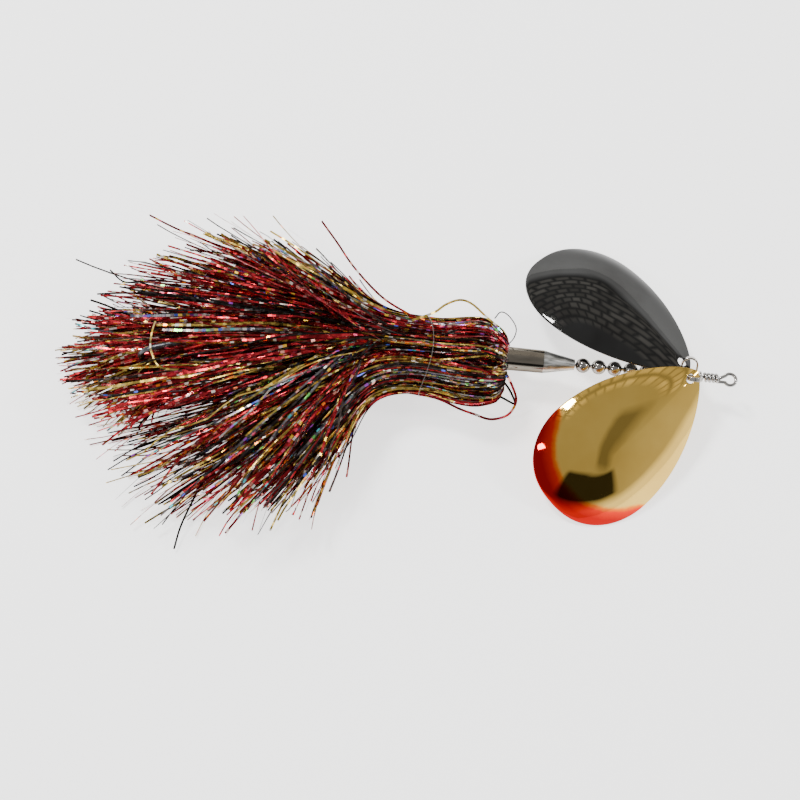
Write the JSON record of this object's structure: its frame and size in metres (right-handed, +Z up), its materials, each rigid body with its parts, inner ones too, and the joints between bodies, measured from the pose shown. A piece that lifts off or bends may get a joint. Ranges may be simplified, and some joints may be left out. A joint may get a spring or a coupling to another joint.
{
  "type": "in-line double-blade spinner",
  "caption": "In-line fishing spinner: two dished blades on clevises, bearing beads, turned body, tinsel skirt and two hidden treble hooks on a through-wire shaft.",
  "frame": {"origin": "on the table, under the middle of the lure's box as it lies at rest", "axes": "+X along the shaft towards the line eye, +Z up from the table, +Y to the left of the line eye"},
  "size_m": [0.257, 0.124, 0.0379],
  "materials": {
    "stainless_wire": "polished",
    "nickel": "polished",
    "gold_blade": "polished",
    "black_blade": "polished",
    "steel_bead": "polished",
    "nickel_body": "polished",
    "brass_tube": "satin",
    "tying_thread": "satin",
    "tinsel": "gloss",
    "clear_band": "gloss",
    "hook_steel": "satin",
    "shrink_tube": "satin"
  },
  "bodies": {
    "shaft_assembly": {"wire_shaft": "stainless_wire", "body_weight": "nickel_body", "skirt_collar": "brass_tube", "front_skirt_thread": "tying_thread", "front_skirt": "tinsel", "neck_band": "clear_band", "front_hook": "hook_steel", "front_hook_sleeve": "shrink_tube"},
    "gold_clevis": {"clevis_gold": "nickel"},
    "black_clevis": {"clevis_black": "nickel"},
    "gold_blade": {"blade_gold": "gold_blade"},
    "black_blade": {"blade_black": "black_blade"},
    "thrust_bead": {"thrust_bead": "steel_bead"},
    "bead_1": {"bearing_bead_1": "steel_bead"},
    "bead_2": {"bearing_bead_2": "steel_bead"},
    "bead_3": {"bearing_bead_3": "steel_bead"},
    "bead_4": {"bearing_bead_4": "steel_bead"},
    "bead_5": {"bearing_bead_5": "steel_bead"},
    "bead_6": {"bearing_bead_6": "steel_bead"},
    "split_ring": {"split_ring": "stainless_wire"},
    "rear_hook": {"rear_hook": "hook_steel", "rear_hook_sleeve": "shrink_tube", "rear_skirt_thread": "tying_thread", "rear_skirt": "tinsel"}
  },
  "joints": [
    {"name": "clevis_gold_spin", "type": "hinge", "parent": "shaft_assembly", "child": "gold_clevis", "pos_m": [0.11136, 0.00865, 0.016], "axis": [1, 0, 0], "continuous": true},
    {"name": "clevis_black_spin", "type": "hinge", "parent": "shaft_assembly", "child": "black_clevis", "pos_m": [0.10966, 0.00865, 0.016], "axis": [1, 0, 0], "continuous": true},
    {"name": "blade_gold_swing", "type": "hinge", "parent": "gold_clevis", "child": "gold_blade", "pos_m": [0.11136, 0.00641, 0.02013], "axis": [0, 0.8788, 0.4772], "range_deg": [0, 150]},
    {"name": "blade_black_swing", "type": "hinge", "parent": "black_clevis", "child": "black_blade", "pos_m": [0.10966, 0.01186, 0.01944], "axis": [0, 0.7314, -0.682], "range_deg": [0, 150]},
    {"name": "thrust_bead_spin", "type": "hinge", "parent": "shaft_assembly", "child": "thrust_bead", "pos_m": [0.10456, 0.00865, 0.016], "axis": [1, 0, 0], "continuous": true},
    {"name": "bead_1_spin", "type": "hinge", "parent": "shaft_assembly", "child": "bead_1", "pos_m": [0.10006, 0.00865, 0.016], "axis": [1, 0, 0], "continuous": true},
    {"name": "bead_2_spin", "type": "hinge", "parent": "shaft_assembly", "child": "bead_2", "pos_m": [0.09406, 0.00865, 0.016], "axis": [1, 0, 0], "continuous": true},
    {"name": "bead_3_spin", "type": "hinge", "parent": "shaft_assembly", "child": "bead_3", "pos_m": [0.08806, 0.00865, 0.016], "axis": [1, 0, 0], "continuous": true},
    {"name": "bead_4_spin", "type": "hinge", "parent": "shaft_assembly", "child": "bead_4", "pos_m": [0.08206, 0.00865, 0.016], "axis": [1, 0, 0], "continuous": true},
    {"name": "bead_5_spin", "type": "hinge", "parent": "shaft_assembly", "child": "bead_5", "pos_m": [0.07606, 0.00865, 0.016], "axis": [1, 0, 0], "continuous": true},
    {"name": "bead_6_spin", "type": "hinge", "parent": "shaft_assembly", "child": "bead_6", "pos_m": [0.07006, 0.00865, 0.016], "axis": [1, 0, 0], "continuous": true},
    {"name": "rear_ring_pitch", "type": "hinge", "parent": "shaft_assembly", "child": "split_ring", "pos_m": [-0.04234, 0.00865, 0.016], "axis": [0, 1, 0], "range_deg": [-15, 15]},
    {"name": "rear_hook_swing", "type": "hinge", "parent": "split_ring", "child": "rear_hook", "pos_m": [-0.04734, 0.00865, 0.016], "axis": [0, 0, 1], "range_deg": [-12, 8]}
  ],
  "couplings": [
    {"joint": "clevis_black_spin", "follows": "clevis_gold_spin", "ratio": 1}
  ]
}
